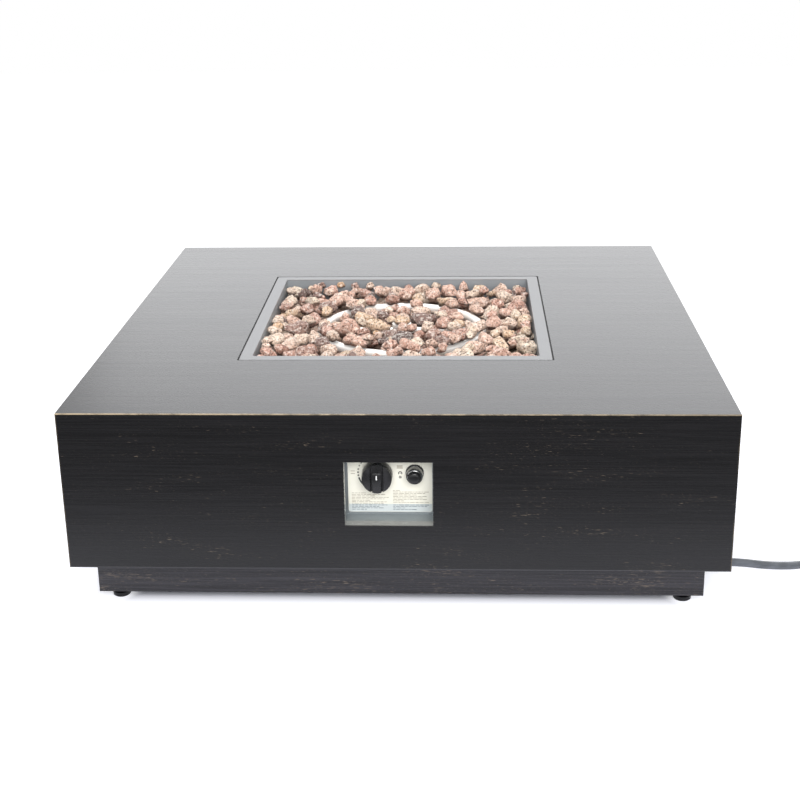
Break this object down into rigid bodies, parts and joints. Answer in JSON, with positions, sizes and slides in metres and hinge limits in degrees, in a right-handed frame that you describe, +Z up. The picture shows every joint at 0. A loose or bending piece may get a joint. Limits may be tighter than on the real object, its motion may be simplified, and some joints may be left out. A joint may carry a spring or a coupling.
{
  "type": "gas fire pit table",
  "caption": "Low square gas fire pit table with a lava rock bowl, ring burner, recessed control knob and igniter, plinth with levelling feet, and gas hose with regulator.",
  "frame": {"origin": "on the floor under the middle of the square body", "axes": "+Z up, -Y the front with the controls, +X to the user's right, where the hose leaves"},
  "size_m": [1.326, 0.94, 0.308],
  "materials": {
    "body_coat": "dark brown-black semi-gloss coat with fine worn flecks",
    "plinth_coat": "dark grey semi-gloss coat",
    "galvanised": "galvanised sheet",
    "zinc": "zinc-plated steel",
    "foot_plastic": "black moulded plastic",
    "pan_grey": "matt grey heat-proof coat",
    "burner_steel": "bright stainless steel",
    "cast_grey": "grey casting",
    "lava": "porous dark lava rock",
    "brass": "plain brass",
    "aluminium": "plain aluminium",
    "stem_steel": "machined steel",
    "copper": "bare copper",
    "ceramic_white": "white ceramic",
    "lead_rubber": "red silicone lead",
    "label_print": "cream printed film",
    "knob_plastic": "black moulded plastic",
    "pointer_white": "white mark",
    "igniter_plastic": "black moulded plastic",
    "igniter_gloss": "gloss black plastic",
    "battery_wrap": "wrapped dry cell",
    "hose_rubber": "dark grey rubber",
    "tie_plastic": "black moulded plastic",
    "bonnet_paint": "grey paint"
  },
  "bodies": {
    "table": {"top_panel": "body_coat", "front_panel": "body_coat", "back_panel": "body_coat", "left_panel": "body_coat", "right_panel": "body_coat", "pan_ledge": "body_coat", "plinth_front": "plinth_coat", "plinth_back": "plinth_coat", "plinth_left": "plinth_coat", "plinth_right": "plinth_coat", "corner_posts": "galvanised", "foot_gussets": "galvanised", "control_box": "galvanised", "control_plate": "galvanised", "heat_shield": "galvanised", "flame_bracket": "galvanised", "base_bolts": "zinc", "plate_screws": "zinc", "shield_spacers": "zinc", "burner_lock_nut": "zinc", "igniter_nut": "zinc", "safety_magnet": "zinc", "burner_pan": "pan_grey", "burner_ring": "burner_steel", "air_mixer": "cast_grey", "lava_bed": "lava", "lava_rocks": "lava", "gas_orifice": "brass", "gas_valve": "brass", "inlet_fitting": "brass", "coupling_nipple": "brass", "hose_ferrule": "brass", "supply_tube": "aluminium", "regulator_body": "aluminium", "thermocouple": "stem_steel", "thermocouple_lead": "copper", "ignition_electrode": "ceramic_white", "igniter_lead": "lead_rubber", "dial_label": "label_print", "igniter_body": "igniter_plastic", "igniter_battery": "battery_wrap", "inner_hose": "hose_rubber", "gas_hose": "hose_rubber", "hose_coil": "hose_rubber", "hose_tail": "hose_rubber", "hose_grommet": "hose_rubber", "hose_tie": "tie_plastic", "regulator_bonnet": "bonnet_paint"},
    "foot_front_left": {"foot_front_left": "foot_plastic"},
    "foot_front_right": {"foot_front_right": "foot_plastic"},
    "foot_back_left": {"foot_back_left": "foot_plastic"},
    "foot_back_right": {"foot_back_right": "foot_plastic"},
    "valve_plug": {"valve_plug": "brass", "stem_spring": "zinc"},
    "knob": {"control_knob": "knob_plastic", "knob_pointer": "pointer_white", "valve_stem": "stem_steel"},
    "igniter_cap": {"igniter_cap": "igniter_gloss"},
    "igniter_button": {"igniter_button": "igniter_gloss"},
    "coupling_nut": {"coupling_nut": "tie_plastic"}
  },
  "joints": [
    {"name": "knob_turn", "type": "hinge", "parent": "table", "child": "valve_plug", "pos_m": [-0.0274, -0.4, 0.203], "axis": [0, -1, 0], "range_deg": [0, 210]},
    {"name": "knob_push", "type": "slide", "parent": "valve_plug", "child": "knob", "axis": [0, 1, 0], "range_m": [0, 0.0045], "stiffness_N_per_m": 1500, "springref_m": -0.004, "deforming": ["stem_spring"]},
    {"name": "igniter_cap_off", "type": "slide", "parent": "table", "child": "igniter_cap", "axis": [0, -1, 0], "range_m": [0, 0.06]},
    {"name": "igniter_press", "type": "slide", "parent": "igniter_cap", "child": "igniter_button", "axis": [0, 1, 0], "range_m": [0, 0.004], "stiffness_N_per_m": 1000, "springref_m": -0.003},
    {"name": "level_front_left", "type": "slide", "parent": "table", "child": "foot_front_left", "axis": [0, 0, -1], "range_m": [0, 0.012]},
    {"name": "level_front_right", "type": "slide", "parent": "table", "child": "foot_front_right", "axis": [0, 0, -1], "range_m": [0, 0.012]},
    {"name": "level_back_left", "type": "slide", "parent": "table", "child": "foot_back_left", "axis": [0, 0, -1], "range_m": [0, 0.012]},
    {"name": "level_back_right", "type": "slide", "parent": "table", "child": "foot_back_right", "axis": [0, 0, -1], "range_m": [0, 0.012]},
    {"name": "coupling_nut_turn", "type": "hinge", "parent": "table", "child": "coupling_nut", "pos_m": [0.823, 0.1965, 0.0245], "axis": [0, 1, 0], "continuous": true}
  ]
}
